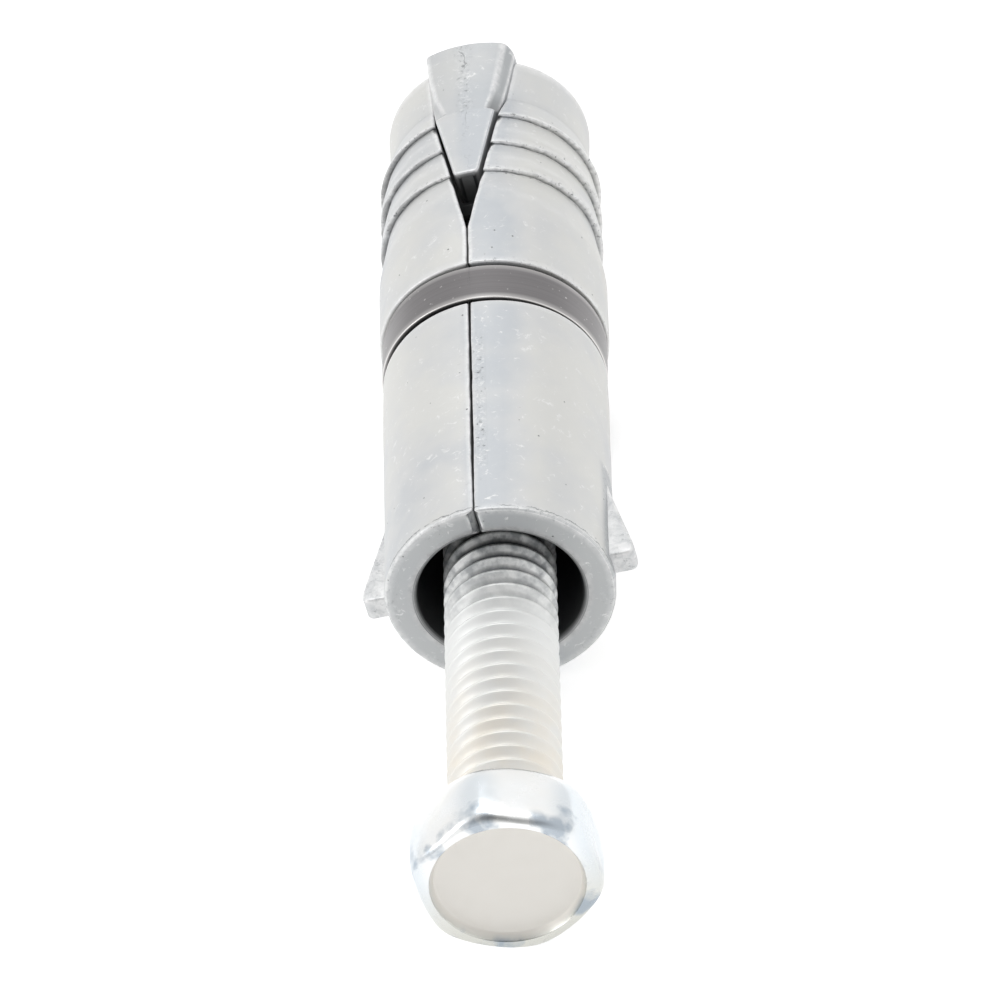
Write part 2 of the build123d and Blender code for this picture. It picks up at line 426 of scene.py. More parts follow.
@dataclass(frozen=True)
class CastZinc(Finish):
    """Zinc die casting, left as it came from the die: a matt light grey skin.

    Metal and soil share its skin, so it mirrors only half of the light. The sizes in millimetres
    are those of its patches, scuffs, crumbs, pits and grain, and of its lines of soil.
    """

    name: str = "cast_zinc_skin"
    skin: str = "#DCDDDD"
    cool: str = "#CCD0D4"
    warm: str = "#E2E2DF"
    bright: str = "#FAFAFA"
    # the next three colours: a darker skin, for painted shade on the mouth's face and the nut's right fin
    # flank and for a darker ear and fins; a grey for soil and for painted shade in inner corners;
    # near-black for painted shade inside
    darkened_skin: str = "#BFC2C4"
    soil_and_shade_tone: str = "#5A5E62"
    deep: str = "#191C20"
    patch_mm: float = 9.0
    fleck_mm: float = 0.9
    crumb_mm: float = 0.42
    crumb_depth_mm: float = 0.08
    pit_mm: float = 0.8
    grain_mm: float = 0.16
    grain_depth_mm: float = 0.012
    crack_mm: float = 0.07
    crack_sway_mm: float = 2.6
    crack_swell_mm: float = 1.7
    crack_gap_mm: float = 2.3
    rim_line_mm: float = 0.42
    rim_sway_mm: float = 0.9
    rim_gap_mm: float = 2.0
    metal: float = 0.5
    cast_gloss: float = 0.52
    rubbed_gloss: float = 0.36

    def skin_colour(self, add: Add, place: bpy.types.NodeSocket) -> bpy.types.Node:
        """Cool and warm patches, as the die's release agent leaves them; the skin is cooler just right of
        the seam and warmer farther out to the right.

        Args:
            add: Adds a node to the material.
            place: Place on the object.

        Returns:
            The node with the colour.
        """
        patches = add("TexNoise", place, per_mm(self.patch_mm), 3.0, 0.55)
        across = add("SeparateXYZ", place).outputs["X"]
        right = add("MapRange", across, -1 * MM, 0.4 * MM, -0.03, 0.22)
        beside = add("MapRange", across, 2.6 * MM, 5.2 * MM, 1.0, -0.45)
        cooler = add("Math", right, beside, operation="MULTIPLY")
        tone = add("ValToRGB", add("Math", patches, cooler, operation="SUBTRACT"))
        ramp = tone.color_ramp
        ramp.elements[0].position = 0.28
        ramp.elements[0].color = linear(self.cool)
        ramp.elements[1].position = 0.66
        ramp.elements[1].color = linear(self.warm)
        ramp.elements.new(0.5).color = linear(self.skin)
        return tone

    def cracks(self, add: Add, place: bpy.types.NodeSocket, rough: bpy.types.NodeSocket) -> bpy.types.Node:
        """Short cold-shut cracks that wander along the parting line where the skin is rough.

        Args:
            add: Adds a node to the material.
            place: Place on the object.
            rough: How rough the skin is.

        Returns:
            The node with 1 in a crack.
        """
        sway = add("TexNoise", place, per_mm(self.crack_swell_mm), 4.0, 0.6)
        across = add("SeparateXYZ", place).outputs["X"]
        aside = add("Math", sway, 0.5, operation="SUBTRACT")
        swung = add("Math", aside, self.crack_sway_mm * MM, across, operation="MULTIPLY_ADD")
        off = add("Math", swung, operation="ABSOLUTE")
        line = add("MapRange", off, 0.3 * self.crack_mm * MM, self.crack_mm * MM, 1.0, 0.0)
        gaps = add("MapRange", add("TexNoise", place, per_mm(self.crack_gap_mm), 2.0), 0.47, 0.53)
        shown = add("Math", line, rough, operation="MULTIPLY")
        return add("Math", shown, gaps, operation="MULTIPLY")

    def rim_line(self, add: Add, place: bpy.types.NodeSocket, flecks: bpy.types.Node) -> bpy.types.Node:
        """Broken line of soil behind the mouth's outer edge, where the die halves met.

        Args:
            add: Adds a node to the material.
            place: Place on the object.
            flecks: Noise that makes the line unsteady.

        Returns:
            The node with the strength of the line.
        """
        along = add("SeparateXYZ", place).outputs["Y"]
        aside = add("Math", flecks, 0.5, operation="SUBTRACT")
        swung = add("Math", aside, self.rim_sway_mm * MM, along, operation="MULTIPLY_ADD")
        off = add("Math", swung, self.rim_line_mm * MM, operation="SUBTRACT")
        line = add("MapRange", add("Math", off, operation="ABSOLUTE"), 0.02 * MM, 0.08 * MM, 0.8, 0.0)
        gaps = add("MapRange", add("TexNoise", place, per_mm(self.rim_gap_mm), 2.0), 0.42, 0.5)
        return add("Math", line, gaps, operation="MULTIPLY")

    def shade(self, add: Add) -> None:
        """Patches, scuffs, crumbled edges, soil and pits over a fine cast grain, with painted shade and
        painted highlights.

        Args:
            add: Adds a node to the material.
        """
        place = add("TexCoord").outputs["Object"]
        worn, crevice, inside, rough, darkening, painted_light = (
            add("Attribute", attribute_name=name).outputs["Fac"]
            for name in ("worn", "crevice", "inside", "rough", "darkening", "painted_light")
        )
        flecks = add("TexNoise", place, per_mm(self.fleck_mm), 6.0, 0.75, named={"Distortion": 0.6})
        crumbs = add("TexNoise", place, per_mm(self.crumb_mm), 5.0, 0.7)

        # light scuffs, as where castings chafed in the barrel, and lighter edges: the outer edges as wear
        # and painted highlight, the seam, slot and fin edges as painted highlight
        broken = add("MapRange", flecks, 0.36, 0.6, 0.3, 1.0)
        scuffs = add("MapRange", flecks, 0.59, 0.68, 0.0, 0.75)
        edges = add("Math", worn, painted_light, operation="MAXIMUM")
        wear_and_highlight = add("Math", edges, broken, operation="MULTIPLY")
        pale = add("MapRange", crumbs, 0.48, 0.36, 0.0, 0.6)
        crumbled = add("Math", rough, pale, operation="MULTIPLY")
        bare = add("Math", scuffs, wear_and_highlight, operation="MAXIMUM")
        light = add("Math", bare, crumbled, operation="MAXIMUM")
        # darker where marked: painted shade on the mouth's face and the nut's right fin flank, and a darker
        # tone on the ear and on the fins past their shoulder
        skin = add("Mix", darkening, self.skin_colour(add, place), linear(self.darkened_skin), data_type="RGBA")
        lit = add("Mix", light, skin, linear(self.bright), data_type="RGBA")

        # soil stays in the pits, the crumbled edges and the cracks, and inner corners are darkened as
        # painted shade
        specks = add("TexVoronoi", place, per_mm(self.pit_mm))
        rare = add("Math", specks.outputs["Color"], 0.82, operation="GREATER_THAN")
        dots = add("MapRange", specks.outputs["Distance"], 0.05, 0.13, 1.0, 0.0)
        pits = add("Math", dots, rare, operation="MULTIPLY")
        pocked = add("Math", rough, add("MapRange", crumbs, 0.57, 0.68), operation="MULTIPLY")
        crease_shade = add("Math", crevice, broken, operation="MULTIPLY")
        cracks = self.cracks(add, place, rough)
        lines = add("Math", cracks, self.rim_line(add, place, flecks), operation="MAXIMUM")
        hollows = add("Math", crease_shade, pits, operation="MAXIMUM")
        marks = add("Math", pocked, lines, operation="MAXIMUM")
        soiling_and_shading = add("Math", hollows, marks, operation="MAXIMUM")
        soil_and_shade = add("Math", soiling_and_shading, 0.8, operation="MULTIPLY")
        with_soil_and_shade = add("Mix", soil_and_shade, lit, linear(self.soil_and_shade_tone), data_type="RGBA")
        # painted shade: the bore, the seam's and slot's faces, the groove, the left ridges' feet and the
        # nut's core and right fin flank go towards near-black and lose their metal
        shade = add("Math", inside, 0.96, operation="MULTIPLY")
        colour = add("Mix", shade, with_soil_and_shade, linear(self.deep), data_type="RGBA")

        grain = add("TexNoise", place, per_mm(self.grain_mm), 3.0, 0.6)
        fine = add("Bump", 0.5, self.grain_depth_mm * MM, named={"Height": grain})
        heaped = add("Math", 1.0, crumbs, operation="SUBTRACT")
        crumble = add("Math", heaped, add("Math", rough, 0.06, operation="ADD"), operation="MULTIPLY")
        height = add("Math", crumble, pits, operation="SUBTRACT")
        skin_bump = add("Bump", 0.9, self.crumb_depth_mm * MM, named={"Height": height, "Normal": fine})
        gloss = add("MapRange", light, 0.0, 1.0, self.cast_gloss, self.rubbed_gloss)
        metal = add("MapRange", inside, 0.0, 1.0, self.metal, 0.0)
        shader = add("BsdfPrincipled", colour, metal, gloss, named={"Normal": skin_bump})
        add("OutputMaterial", shader)


@dataclass(frozen=True)
class PlatedSteel(Finish):
    """Zinc plating on cold-headed steel: pale, and as shiny as the steel beneath it is smooth.

    Places along the bolt are distances along the axis in millimetres. The plating is warm from
    warm_to on, and near the shell its threads take soil and painted shade; each sets in between its two
    places.
    """

    name: str = "bright_zinc_plating"
    plate: str = "#F4F6F7"
    tint: str = "#F2F2F0"
    # the next three colours paint reflection and shade on the head: bluish streaks on its crown, a bluish
    # tone on its corners and sides, and a greyer lower rim
    edge: str = "#8C9CAC"
    corner: str = "#CBD5DD"
    rim: str = "#CFCFC9"
    # the next two colours darken the threads near and inside the shell with soil and painted shade, the
    # second at their roots
    soil_and_shade_tone: str = "#858A8E"
    root: str = "#3A3E42"
    sunk: str = "#F5F2EC"
    streaks: float = 0.7
    low_gloss: float = 0.2
    high_gloss: float = 0.3
    sunk_gloss: float = 0.3
    metal: float = 1.0
    sunk_metal: float = 0.4
    patch_mm: float = 3.0
    wear_mm: float = 1.1
    wear_depth_mm: float = 0.05
    warm_from: float = 4.0
    warm_to: float = 3.0
    darkened_from: float = 3.0
    darkened_to: float = 4.0
    root_radius: float = 4.0
    flank_radius: float = 4.28

    def plating(self, add: Add, patches: bpy.types.Node, along: bpy.types.NodeSocket) -> bpy.types.Node:
        """Warm patches, and on the head painted reflection on its corners and sides, painted shade on its
        lower rim and painted reflection streaks on its crown.

        Args:
            add: Adds a node to the material.
            patches: Noise that makes the tones uneven.
            along: Distance along the axis.

        Returns:
            The node with the colour of the clean plating.
        """
        crown, rim_shade, corner_reflection = (
            add("Attribute", attribute_name=name).outputs["Fac"] for name in ("rough", "darkening", "painted_light")
        )
        warmth = add("MapRange", along, self.warm_from * MM, self.warm_to * MM)
        blotches = add("MapRange", patches, 0.35, 0.65, 0.3, 1.0)
        share = add("Math", blotches, warmth, operation="MULTIPLY")
        clean = add("Mix", share, linear(self.plate), linear(self.tint), data_type="RGBA")
        painted_reflection = add("Mix", corner_reflection, clean, linear(self.corner), data_type="RGBA")
        rim_shaded = add("Mix", rim_shade, painted_reflection, linear(self.rim), data_type="RGBA")
        streaks = add("MapRange", patches, 0.5, 0.62, 0.0, self.streaks)
        shown = add("Math", streaks, crown, operation="MULTIPLY")
        return add("Mix", shown, rim_shaded, linear(self.edge), data_type="RGBA")

    def shade(self, add: Add) -> None:
        """Uneven plating, a matt sunk face and, near and inside the shell, soil and painted shade in the
        thread.

        Args:
            add: Adds a node to the material.
        """
        place = add("TexCoord").outputs["Object"]
        patches = add("TexNoise", place, per_mm(self.patch_mm), 4.0)
        wear = add("TexNoise", place, per_mm(self.wear_mm), 6.0)
        along = add("SeparateXYZ", place).outputs["Y"]
        clean = self.plating(add, patches, along)

        # soil that the shell wiped off on the threads beside it, and painted shade: darkest at their roots
        # and full on the threads inside the shell
        near = add("MapRange", along, self.darkened_from * MM, self.darkened_to * MM)
        spread = add("MapRange", wear, 0.38, 0.62, 0.0, 0.8)
        flat = add("VectorMath", place, (1.0, 0.0, 1.0), operation="MULTIPLY")
        radius = add("VectorMath", flat, operation="LENGTH")
        root = add("MapRange", radius, self.root_radius * MM, self.flank_radius * MM, 1.0, 0.0)
        blotch_and_shade = add("Math", near, spread, operation="MULTIPLY")
        blotched_and_shaded = add("Mix", blotch_and_shade, clean, linear(self.soil_and_shade_tone), data_type="RGBA")
        soil_and_shade = add("Math", near, root, operation="MULTIPLY")
        with_soil_and_shade = add("Mix", soil_and_shade, blotched_and_shaded, linear(self.root), data_type="RGBA")
        sunk = add("Attribute", attribute_name="inside").outputs["Fac"]
        colour = add("Mix", sunk, with_soil_and_shade, linear(self.sunk), data_type="RGBA")

        gloss = add("MapRange", wear, 0.3, 0.7, self.low_gloss, self.high_gloss)
        matt = add("Math", sunk, self.sunk_gloss, gloss, operation="MULTIPLY_ADD")
        metal = add("MapRange", sunk, 0.0, 1.0, self.metal, self.sunk_metal)
        wave = add("Bump", 0.25, self.wear_depth_mm * MM, named={"Height": wear})
        shader = add("BsdfPrincipled", colour, metal, matt, named={"Normal": wave})
        add("OutputMaterial", shader)


@dataclass(frozen=True)
class SpringSteel(Finish):
    """Rolled spring steel strip: dark, with fine lines along the strip and bright sheared edges."""

    name: str = "rolled_spring_steel"
    steel: str = "#716E70"
    dark: str = "#575557"
    bright: str = "#E6E4E2"
    gloss: float = 0.34
    line_mm: float = 0.15
    line_depth_mm: float = 0.02
    drawn_out_mm: float = 100 / 3
    fleck_mm: float = 0.5

    def shade(self, add: Add) -> None:
        """Rolling lines run round the band, so they vary quickly only along its axis.

        Args:
            add: Adds a node to the material.
        """
        place = add("TexCoord").outputs["Object"]
        drawn_out = per_mm(self.drawn_out_mm)
        lines = add("Mapping", place, named={"Scale": (drawn_out, per_mm(self.line_mm), drawn_out)})
        rolled = add("TexNoise", lines, 1.0, 3.0)
        strip = add("Mix", rolled, linear(self.steel), linear(self.dark), data_type="RGBA")
        worn = add("Attribute", attribute_name="worn").outputs["Fac"]
        flecks = add("TexNoise", place, per_mm(self.fleck_mm), 5.0)
        specks = add("MapRange", flecks, 0.68, 0.74, 0.0, 0.6)
        bare = add("Math", worn, specks, operation="MAXIMUM")
        colour = add("Mix", bare, strip, linear(self.bright), data_type="RGBA")
        ribs = add("Bump", 0.15, self.line_depth_mm * MM, named={"Height": rolled})
        shader = add("BsdfPrincipled", colour, 1.0, self.gloss, named={"Normal": ribs})
        add("OutputMaterial", shader)


def white_to_view(add: Add) -> bpy.types.Node:
    """Tell what is seen straight, in a mirror or through glass from other light.

    Args:
        add: Adds a node to the tree of a material or of the world.

    Returns:
        The node with 1 for what is seen and 0 for other light.
    """
    path = add("LightPath")
    seen = add("Math", path.outputs["Is Camera Ray"], path.outputs["Is Glossy Ray"], operation="MAXIMUM")
    return add("Math", seen, path.outputs["Is Transmission Ray"], operation="MAXIMUM")


@dataclass(frozen=True)
class WhitePaper(Finish):
    """Matt white paper under the object, which takes its shadow and otherwise shows plain white."""

    name: str = "white_paper"
    colour: str = "#F2F2F2"
    glow: float = 0.55

    def shade(self, add: Add) -> None:
        """Paper that glows a little to the eye and lights nothing.

        Args:
            add: Adds a node to the material.
        """
        matt = add("BsdfDiffuse", linear(self.colour))
        glow = add("Emission", (1, 1, 1, 1), self.glow)
        both = add("AddShader", matt, glow)
        add("OutputMaterial", add("MixShader", white_to_view(add), matt, both))


# The anchor's pieces


@dataclass
class ShellHalf:
    """One die-cast half of the shell, with its ridges, slot edge, band groove and ear.

    Swells, waves and nicks are the casting's unevenness, each with its width and its depth. The
    marks on its skin fade between two distances in millimetres.
    """

    side: Side
    length: float = 60.3
    barrel_radius: float = 9.5
    bore_radius: float = 6.8
    mouth_round: float = 0.25
    lead_in: float = 0.45
    groove_radius: float = 8.28
    groove_start: float = 26.3
    groove_end: float = 31.1
    groove_lean: float = 0.34
    shoulder_radius: float = 9.75
    shoulder_end: float = 37.8
    ridge_radius: float = 9.6
    ridge_steps: tuple[float, ...] = (43.5, 47.25, 51.0)
    ridge_drop: float = 0.2
    ridge_offset: float = 0.35
    ridge_ease: float = 0.15
    waist_radius: float = 8.65
    waist_at: float = 54.3
    collar_radius: float = 8.85
    collar_round: float = 1.4
    seam_gaps: tuple[Reading, ...] = ((2.0, 0.06), (8.0, 0.12), (25.0, 0.08))
    slot_tip: float = 36.0
    slot_slope: float = math.tan(math.radians(10.4))
    slot_bend: float = 51.5
    edge_ease: float = 0.18
    edge_columns: int = 4
    columns: int = 120
    row_run: float = 0.6
    skin_swells: tuple[float, float] = (5.0, 0.05)
    edge_waves: tuple[float, float] = (1.6, 0.05)
    edge_nicks: tuple[float, float] = (0.5, 0.02)
    edge_reach: float = 0.04
    ridge_waves: tuple[float, float] = (1.4, 0.12)
    ridge_nicks: tuple[float, float] = (0.5, 0.05)
    ridge_band: float = 0.4
    bore_shade: float = 0.9
    foot_shade: float = 0.42
    foot_run: float = 0.7
    rough_strip: float = 0.65
    worst_run: tuple[float, float] = (5.0, 22.0)
    usual_roughness: float = 0.12
    ear_skin: float = 9.3
    ear_patch: tuple[float, float] = (1.4, 2.6)
    ear_patch_end: float = 12.0
    mouth_shade: float = 0.78
    highlight_before_slot: float = 9.0
    usual_highlight: float = 0.45

    @property
    def corner_round(self) -> float:
        """Rounding of the seam's corner at the mouth, larger on the worn left half."""
        return 0.5 if self.side is Side.LEFT else 0.15

    @property
    def slot_end_slope(self) -> float:
        """Slope of the slot's edge past its bend: the nut has spread the right half more."""
        return math.tan(math.radians(4.2 if self.side is Side.LEFT else 8.6))

    def outline(self) -> list[Station]:
        """Section of the wall, from the bore at the mouth round the outside and back.

        Returns:
            Radius and distance along the axis of each point.
        """
        fine = self.ridge_ease
        middle = self.length / 2
        corners = [
            (self.bore_radius, middle, 0),
            (self.bore_radius, 0, self.lead_in),
            (self.barrel_radius, 0, self.mouth_round),
            (self.barrel_radius, self.groove_start, fine),
            (self.groove_radius, self.groove_start, fine),
            (self.groove_radius, self.groove_end, fine),
            (self.shoulder_radius, self.groove_end, fine),
            (self.shoulder_radius, self.shoulder_end, 0),
        ]
        for step in self.ridge_steps:
            # rows close in on the ridge's steep back and follow its rounded edge
            for before in (0.5, 0.25, 0.1, 0.002):
                corners.append((self.ridge_radius, step - before, 0))
            corners.append((self.ridge_radius - fine, step, 0))
            for share in (0.3, 0.6, 1.0):
                rise = fine * math.sqrt(1 - (1 - share) ** 2)
                corners.append((self.ridge_radius - fine + rise, step + fine * share, 0))
        corners += [
            (self.waist_radius, self.waist_at, 1.0),
            (self.collar_radius, self.length, self.collar_round),
            (self.bore_radius, self.length, fine),
            (self.bore_radius, middle, 0),
        ]
        return with_stations(divided(rounded(corners), self.row_run)[1:], self.bends())

    def bends(self) -> list[float]:
        """Stations where the wall at the seam bends: at the mouth's corner and the slot's tip and bend."""
        arc = [self.corner_round * (1 - math.cos(math.radians(turn))) for turn in range(15, 91, 15)]
        return [*arc, self.slot_tip, self.slot_bend]

    @property
    def lean(self) -> float:
        """How far the groove's front wall falls back at the side: only on the left half."""
        return self.groove_lean if self.side is Side.LEFT else 0.0

    def half_gap(self, station: float) -> float:
        """Distance of the seam or slot edge from the plane X = 0, without its raggedness.

        Args:
            station: Distance along the axis.

        Returns:
            The distance.
        """
        depth = max(0.0, self.corner_round - station)
        corner = self.corner_round - math.sqrt(max(0.0, self.corner_round**2 - depth**2))
        seam = between(self.seam_gaps, station) + corner
        steep = max(0.0, min(station, self.slot_bend) - self.slot_tip)
        past_bend = max(0.0, station - self.slot_bend)
        return seam + steep * self.slot_slope + past_bend * self.slot_end_slope

    def crown(self, station: float) -> float:
        """Radius of the outside, without its ridges.

        Args:
            station: Distance along the axis.

        Returns:
            The radius there.
        """
        pairs = (
            (self.groove_start, self.barrel_radius),
            (self.groove_end, self.shoulder_radius),
            (self.shoulder_end, self.shoulder_radius),
            (self.ridge_steps[0], self.ridge_radius),
            (self.ridge_steps[-1], self.ridge_radius),
            (self.waist_at, self.waist_radius),
            (self.length, self.collar_radius),
        )
        return between(pairs, station)

    def wall_x(self, station: float, upper: bool) -> float:
        """Distance of the seam or slot edge from the plane X = 0.

        Args:
            station: Distance along the axis.
            upper: Whether the edge is the one on top.

        Returns:
            The distance, with the ragged edge of the casting.
        """
        seed = self.side.value * 3.7 + upper
        waves = uneven(Vector((0, station, seed)), *self.edge_waves)
        nicks = uneven(Vector((seed, station, 0)), *self.edge_nicks)
        return self.half_gap(station) + max(-self.edge_reach, waves + nicks)

    def outer_radius(self, angle: float, radius: float, station: float) -> float:
        """Radius of the outside, with the ridges cut deeper away from the seams.

        Args:
            angle: Angle from +Z.
            radius: Radius of the turned outline.
            station: Distance along the axis.

        Returns:
            The radius at that angle.
        """
        start = self.shoulder_end
        start_radius = self.shoulder_radius
        for step in self.ridge_steps:
            if start < station < step:
                share = (station - start) / (step - start)
                top = start_radius + self.ridge_drop / 2 + self.ridge_offset
                cone = top + (self.ridge_radius - self.ridge_drop - top) * share
                reach = self.ridge_offset
                chord = math.sqrt(cone**2 - (reach * math.cos(angle)) ** 2)
                return min(radius, chord - reach * math.sin(angle))
            start = step
            start_radius = self.ridge_radius
        return radius

    def shape(self) -> bmesh.types.BMesh:
        """Turn the section over half a circle, then draw its columns up to the seam and slot edges.

        Returns:
            The closed half on the +X side, without its ear.
        """
        outline = self.outline()
        count = len(outline)
        bm = turned(outline, self.columns, angle=math.pi, closed=True)
        close_holes(bm)
        seam = [vert for vert in bm.verts if abs(vert.co.x) < SAME_PLACE]
        close = 0.011
        for bend in self.bends():
            level = [vert for vert in seam if abs(vert.co.y - bend) < close]
            for upper in (1, -1):
                pair = sorted((v for v in level if v.co.z * upper > 0), key=lambda v: abs(v.co.z))
                if len(pair) > 1:
                    bmesh.ops.connect_verts(bm, verts=[pair[0], pair[-1]])
        normals = {}
        for index, (radius, station) in enumerate(outline):
            before = Vector(outline[index - 1])
            after = Vector(outline[(index + 1) % count])
            along = (after - before).normalized()
            normals[(round(radius, 3), round(station, 3))] = Vector((along.y, -along.x))
        for vert in bm.verts:
            self.place(vert, normals)
        return bm

    def place(self, vert: bmesh.types.BMVert, normals: dict[Station, Vector]) -> None:
        """Move one vertex of the turned section to its place on the casting.

        Args:
            vert: The vertex.
            normals: Outward direction of the section at each of its points.
        """
        radius = vert.co.xz.length
        station = vert.co.y
        column = round(abs(math.atan2(vert.co.x, vert.co.z)) / math.pi * self.columns)
        out = normals.get((round(radius, 3), round(station, 3)), Vector((1, 0)))
        last = self.columns - self.edge_columns
        near = min(column, self.columns - column, self.edge_columns)
        tilt = math.pi / 2 * (1 - near / self.edge_columns)
        shift = self.edge_ease * (1 - math.sin(tilt))
        drop = self.edge_ease * (1 - math.cos(tilt))
        reach = max(1.0, radius)
        first_angle = math.asin((self.wall_x(station, True) + shift) / reach)
        last_angle = math.pi - math.asin((self.wall_x(station, False) + shift) / reach)
        if column <= self.edge_columns:
            angle = first_angle
        elif column >= last:
            angle = last_angle
        else:
            share = (column - self.edge_columns) / (last - self.edge_columns)
            angle = first_angle + (last_angle - first_angle) * share
        if radius > self.bore_radius + self.lead_in:
            radius = self.outer_radius(angle, radius, station)
            skin = Vector((9 * angle, station, self.side.value * 5.0))
            radius += uneven(skin, *self.skin_swells) - self.skin_swells[1]
            if min(abs(station - step) for step in self.ridge_steps) < self.ridge_band:
                station += uneven(skin, *self.ridge_waves) + uneven(skin, *self.ridge_nicks)
        by_groove = 1 - smooth(abs(station - self.groove_start), 0.3, 3.0)
        station -= self.lean * math.sin(angle) * by_groove
        radius -= drop * out.x
        station -= drop * out.y
        vert.co = Vector((radius * math.sin(angle), station, radius * math.cos(angle)))

    def on_ear(self, point: Vector) -> float:
        """Tell whether a place is on the ear.

        Args:
            point: Place on the half shell, in millimetres.

        Returns:
            1 on the ear, falling to 0 beside it.
        """
        beside = point.xz.length > self.ear_skin and point.y < self.ear_patch_end
        return 1 - smooth(abs(point.z), *self.ear_patch) if beside else 0.0

    def darkness(self, point: Vector) -> float:
        """Paint shade on the bore, the seam's faces, the groove and, on the left, the ridges' feet.

        Args:
            point: Place on the half shell, in millimetres.

        Returns:
            How deep inside it lies, which is how much painted shade it takes.
        """
        radius = point.xz.length
        at_edge = abs(point.x) < self.half_gap(point.y) + 0.1
        sunk = self.crown(point.y) - radius
        inside = 0.0
        if radius < self.bore_radius + self.bore_shade:
            depth = min(point.y, self.length - point.y)
            inside = smooth(self.bore_radius + self.bore_shade - radius + depth, 0.0, 1.5)
        elif at_edge and point.y < self.corner_round:
            inside = smooth(point.y, 0.1 * self.corner_round, self.corner_round) * smooth(sunk, 0.0, 1.4)
        elif at_edge and point.y < self.slot_bend + 0.3:
            inside = smooth(sunk, 0.16, 0.3)
        elif at_edge:
            inside = smooth(self.waist_radius - radius, 0.2, 0.8)
        elif self.groove_start - self.lean - 0.02 < point.y < self.groove_end + 0.02:
            inside = smooth(self.barrel_radius - radius, 0.1, 0.5)
        if self.side is Side.LEFT:
            for step in self.ridge_steps:
                before = smooth(point.y, step - self.foot_run, step - 0.1)
                foot = before * (1 - smooth(point.y, step, step + 0.1))
                inside = max(inside, self.foot_shade * foot * smooth(abs(point.x), 0.0, 4.5))
        return inside

    def roughness(self, point: Vector) -> float:
        """Crumble the skin along the parting line, the ridges, the mouth, the groove and the ear.

        Args:
            point: Place on the half shell, in millimetres.

        Returns:
            How rough its skin is.
        """
        radius = point.xz.length
        beside = abs(abs(point.x) - self.half_gap(point.y) - self.rough_strip)
        start, end = self.worst_run
        worst = self.side is Side.RIGHT and point.z > 0 and start < point.y < end
        rough = (1 - smooth(beside, 0.2, 0.6)) * (1.0 if worst else self.usual_roughness)
        rough = max(rough, 0.5 * self.on_ear(point))
        for step in self.ridge_steps:
            rough = max(rough, 1 - smooth(abs(point.y - step), 0.1, 0.5))
        if radius > self.barrel_radius - 0.8:
            rough = max(rough, 0.5 * (1 - smooth(point.y, 0.2, 0.9)))
        if self.side is Side.RIGHT and radius > self.barrel_radius - 0.2:
            rough = max(rough, 0.75 * (1 - smooth(abs(point.y - self.groove_end - 0.1), 0.1, 0.5)))
        return rough

    def mouth_and_ear_darkening(self, point: Vector) -> float:
        """Paint shade on the mouth's face, a little more on the right half's upper part, and darken the
        ear, from 0 to 1.
        """
        by_seam = smooth(point.z, 3.0, 8.5) if self.side is Side.RIGHT else 0.0
        mouth_face_shade = (1 - smooth(point.y, 0.05, 0.4)) * (self.mouth_shade + 0.05 * by_seam)
        return max(mouth_face_shade, self.on_ear(point))

    def edge_highlight(self, point: Vector) -> float:
        """Paint a highlight along the outer edges of seam and slot, strongest along the slot.

        Args:
            point: Place on the half shell, in millimetres.

        Returns:
            How much painted highlight it takes.
        """
        past_edge = abs(point.x) - self.half_gap(point.y)
        if point.xz.length <= self.crown(point.y) - 0.35 or past_edge >= 0.5:
            return 0.0
        at_slot = self.slot_tip - self.highlight_before_slot < point.y < self.slot_bend
        share = 1.0 if at_slot else self.usual_highlight
        return share * (1 - smooth(past_edge, 0.2, 0.45))

    def marks(self, point: Vector) -> tuple[float, float, float, float]:
        """Give how deep inside a place on the half shell lies, how rough it is, how much darker it is
        painted and how much painted highlight it takes.
        """
        return self.darkness(point), self.roughness(point), self.mouth_and_ear_darkening(point), self.edge_highlight(point)

    def build(self, finish: Finish) -> bpy.types.Object:
        """Shape the half, with its ear, and finish it.

        Args:
            finish: Finish of the casting.

        Returns:
            The finished piece.
        """
        bm = self.shape()
        Ear().add_to(bm)
        if self.side is Side.LEFT:
            bmesh.ops.scale(bm, vec=Vector((-1, 1, 1)), verts=bm.verts)
        name = "half_shell_right" if self.side is Side.RIGHT else "half_shell_left"
        piece = finished(bm, name + "_casting", finish, self.marks)
        body = Body.RIGHT if self.side is Side.RIGHT else Body.LEFT
        seat(piece, body, Slot.CASTING, name)
        return piece


@dataclass
class Ear:
    """Gusset that stops the shell from turning in its hole."""

    height: float = 11.35
    root: float = 8.3
    front: float = 1.1
    length: float = 8.6
    nose: float = 1.3
    skin: float = 9.42
    thickness: float = 2.2
    nose_round: float = 0.55
    edge_ease: float = 0.3

    def add_to(self, bm: bmesh.types.BMesh) -> None:
        """Add the ear to a half shell on the +X side.

        Args:
            bm: The half shell, which the ear's root stands in.
        """
        back = self.front + self.length
        corners = [
            (self.root, self.front, 0),
            (self.height, self.front, self.nose_round),
            (self.height, self.front + self.nose, self.nose),
            (self.skin, back, self.length),
            (self.skin - 0.2, back + self.length / 2, 0),
            (self.root, back + self.length / 2, 0),
        ]
        half = self.thickness / 2
        outline = rounded(corners, 6)
        verts = [bm.verts.new((x, y, -half)) for x, y in outline]
        base = bm.faces.new(verts)
        grown = bmesh.ops.extrude_face_region(bm, geom=[base])
        moved = [part for part in grown["geom"] if isinstance(part, bmesh.types.BMVert)]
        bmesh.ops.translate(bm, vec=Vector((0, 0, self.thickness)), verts=moved)
        edges = {edge for vert in verts + moved for edge in vert.link_edges}
        rim = [edge for edge in edges if abs(edge.verts[0].co.z - edge.verts[1].co.z) < half]
        bmesh.ops.bevel(
            bm, geom=rim, offset=self.edge_ease, segments=3, profile=0.5, affect="EDGES", material=-1
        )


